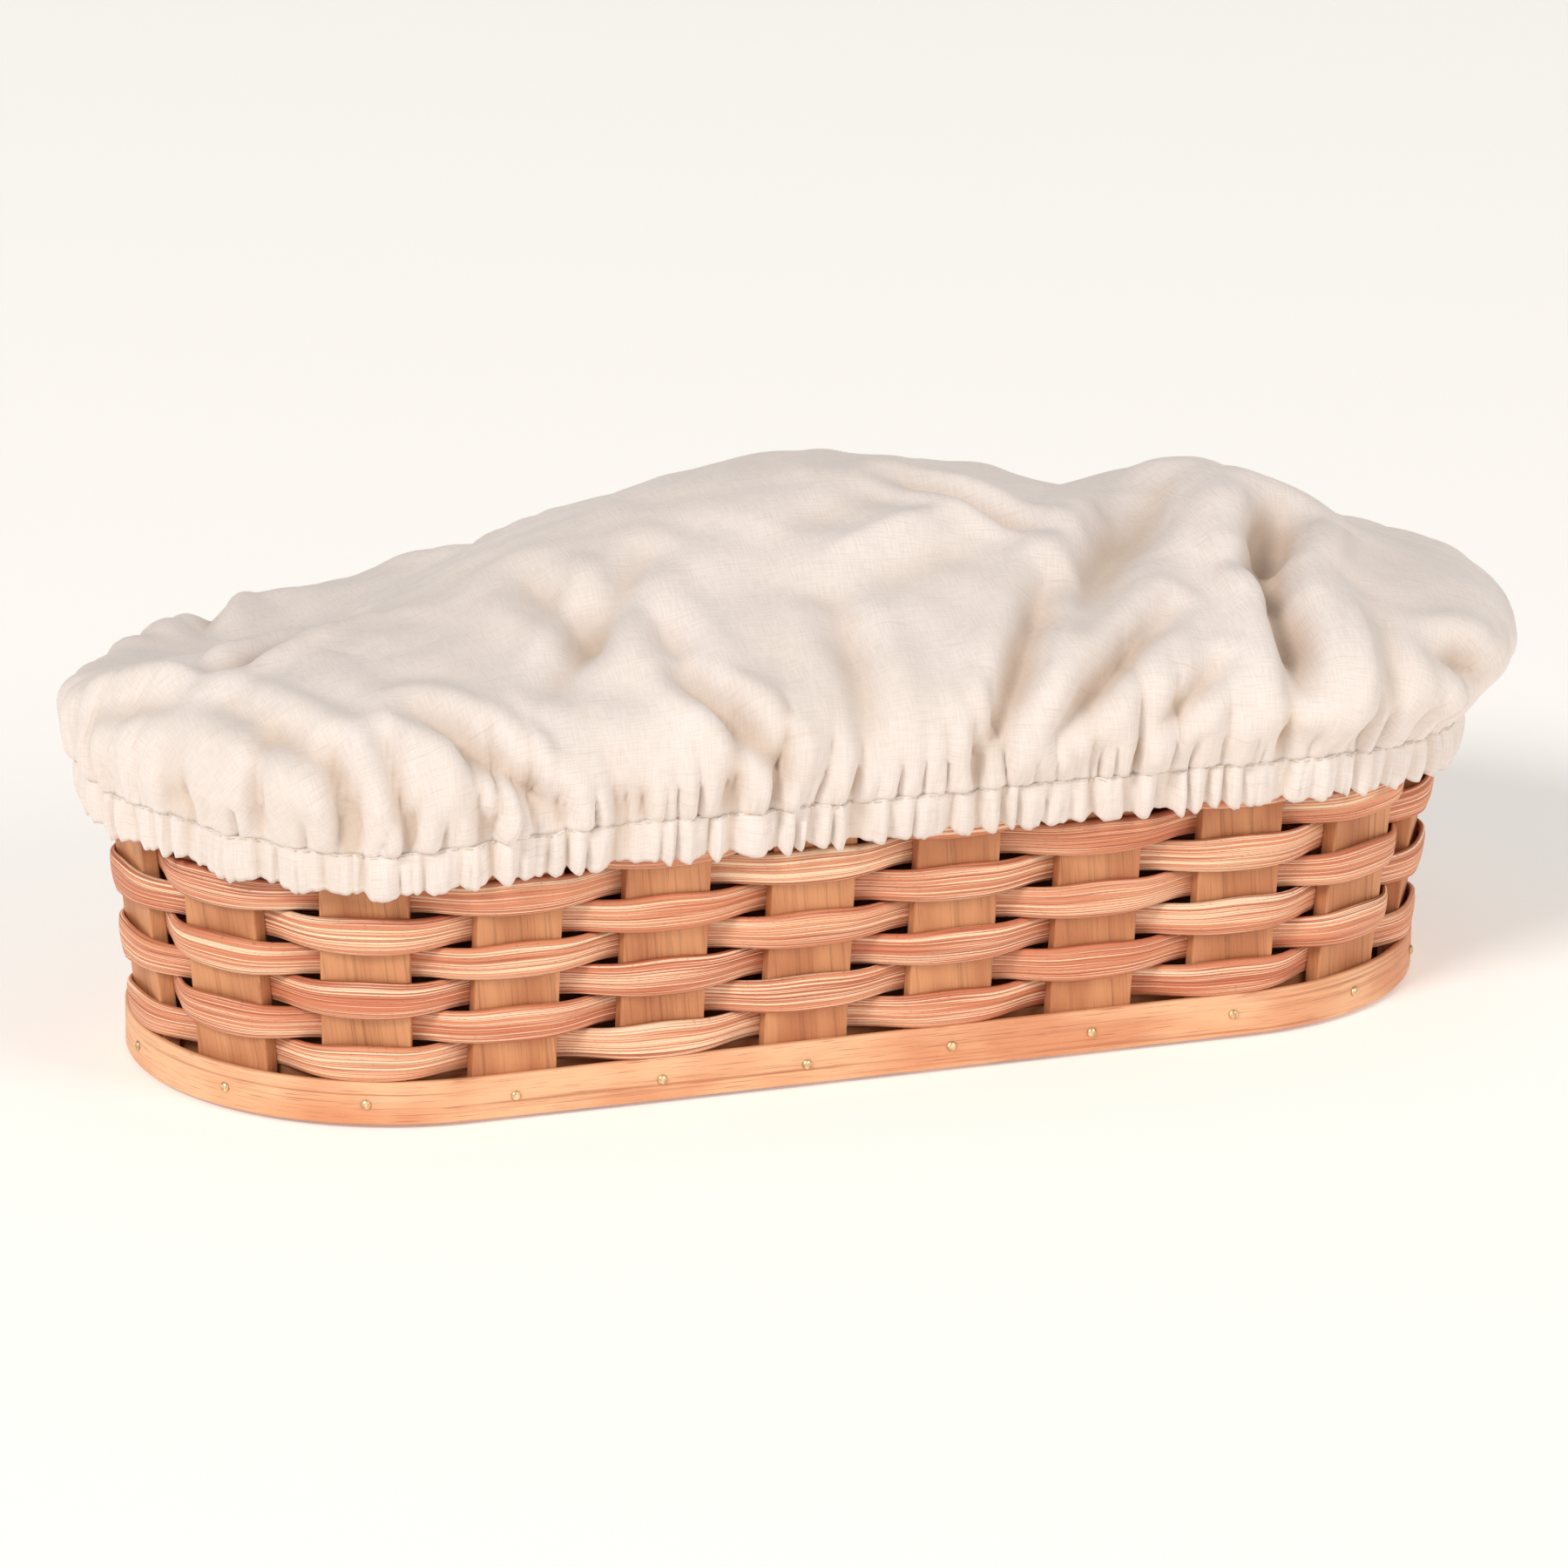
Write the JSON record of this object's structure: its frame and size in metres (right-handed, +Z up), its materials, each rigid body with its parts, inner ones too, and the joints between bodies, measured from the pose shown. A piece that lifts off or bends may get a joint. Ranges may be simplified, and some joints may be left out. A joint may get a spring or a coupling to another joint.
{
  "type": "woven bread proofing basket with cloth cover",
  "caption": "Long round-ended splint and reed basket on a wood base with a tacked foot band, under a puffed muslin cap gathered by an elastic hem.",
  "frame": {"origin": "middle of the base board's underside", "axes": "+Z up, +X along the basket to the end where the cover hangs out further, -Y towards the front"},
  "size_m": [0.4035, 0.1792, 0.1446],
  "materials": {
    "board_wood": "oiled, dull",
    "band_wood": "oiled, satin",
    "stake_wood": "oiled, satin",
    "reed": "stained, dull, streaked",
    "rim_wood": "oiled, satin",
    "tack_brass": "dull brass",
    "muslin": "unbleached plain weave",
    "elastic": "braided"
  },
  "bodies": {
    "basket": {"base_band": "band_wood", "base_board": "board_wood", "base_tack_01": "tack_brass", "base_tack_02": "tack_brass", "base_tack_03": "tack_brass", "base_tack_04": "tack_brass", "base_tack_05": "tack_brass", "base_tack_06": "tack_brass", "base_tack_07": "tack_brass", "base_tack_08": "tack_brass", "base_tack_09": "tack_brass", "base_tack_10": "tack_brass", "base_tack_11": "tack_brass", "base_tack_12": "tack_brass", "base_tack_13": "tack_brass", "base_tack_14": "tack_brass", "base_tack_15": "tack_brass", "base_tack_16": "tack_brass", "base_tack_17": "tack_brass", "base_tack_18": "tack_brass", "base_tack_19": "tack_brass", "base_tack_20": "tack_brass", "base_tack_21": "tack_brass", "base_tack_22": "tack_brass", "rim_hoop_inner": "rim_wood", "rim_hoop_outer": "rim_wood", "stake_01": "stake_wood", "stake_02": "stake_wood", "stake_03": "stake_wood", "stake_04": "stake_wood", "stake_05": "stake_wood", "stake_06": "stake_wood", "stake_07": "stake_wood", "stake_08": "stake_wood", "stake_09": "stake_wood", "stake_10": "stake_wood", "stake_11": "stake_wood", "stake_12": "stake_wood", "stake_13": "stake_wood", "stake_14": "stake_wood", "stake_15": "stake_wood", "stake_16": "stake_wood", "stake_17": "stake_wood", "stake_18": "stake_wood", "stake_19": "stake_wood", "stake_20": "stake_wood", "stake_21": "stake_wood", "stake_22": "stake_wood", "weaver_row_01": "reed", "weaver_row_02": "reed", "weaver_row_03": "reed", "weaver_row_04": "reed", "weaver_row_05": "reed", "weaver_row_06": "reed", "weaver_row_07": "reed"},
    "cover": {"muslin_cover": "muslin", "hem_elastic": "elastic"}
  },
  "joints": [
    {"name": "cover_lift", "type": "slide", "parent": "basket", "child": "cover", "axis": [0, 0, 1], "range_m": [0, 0.13]}
  ]
}
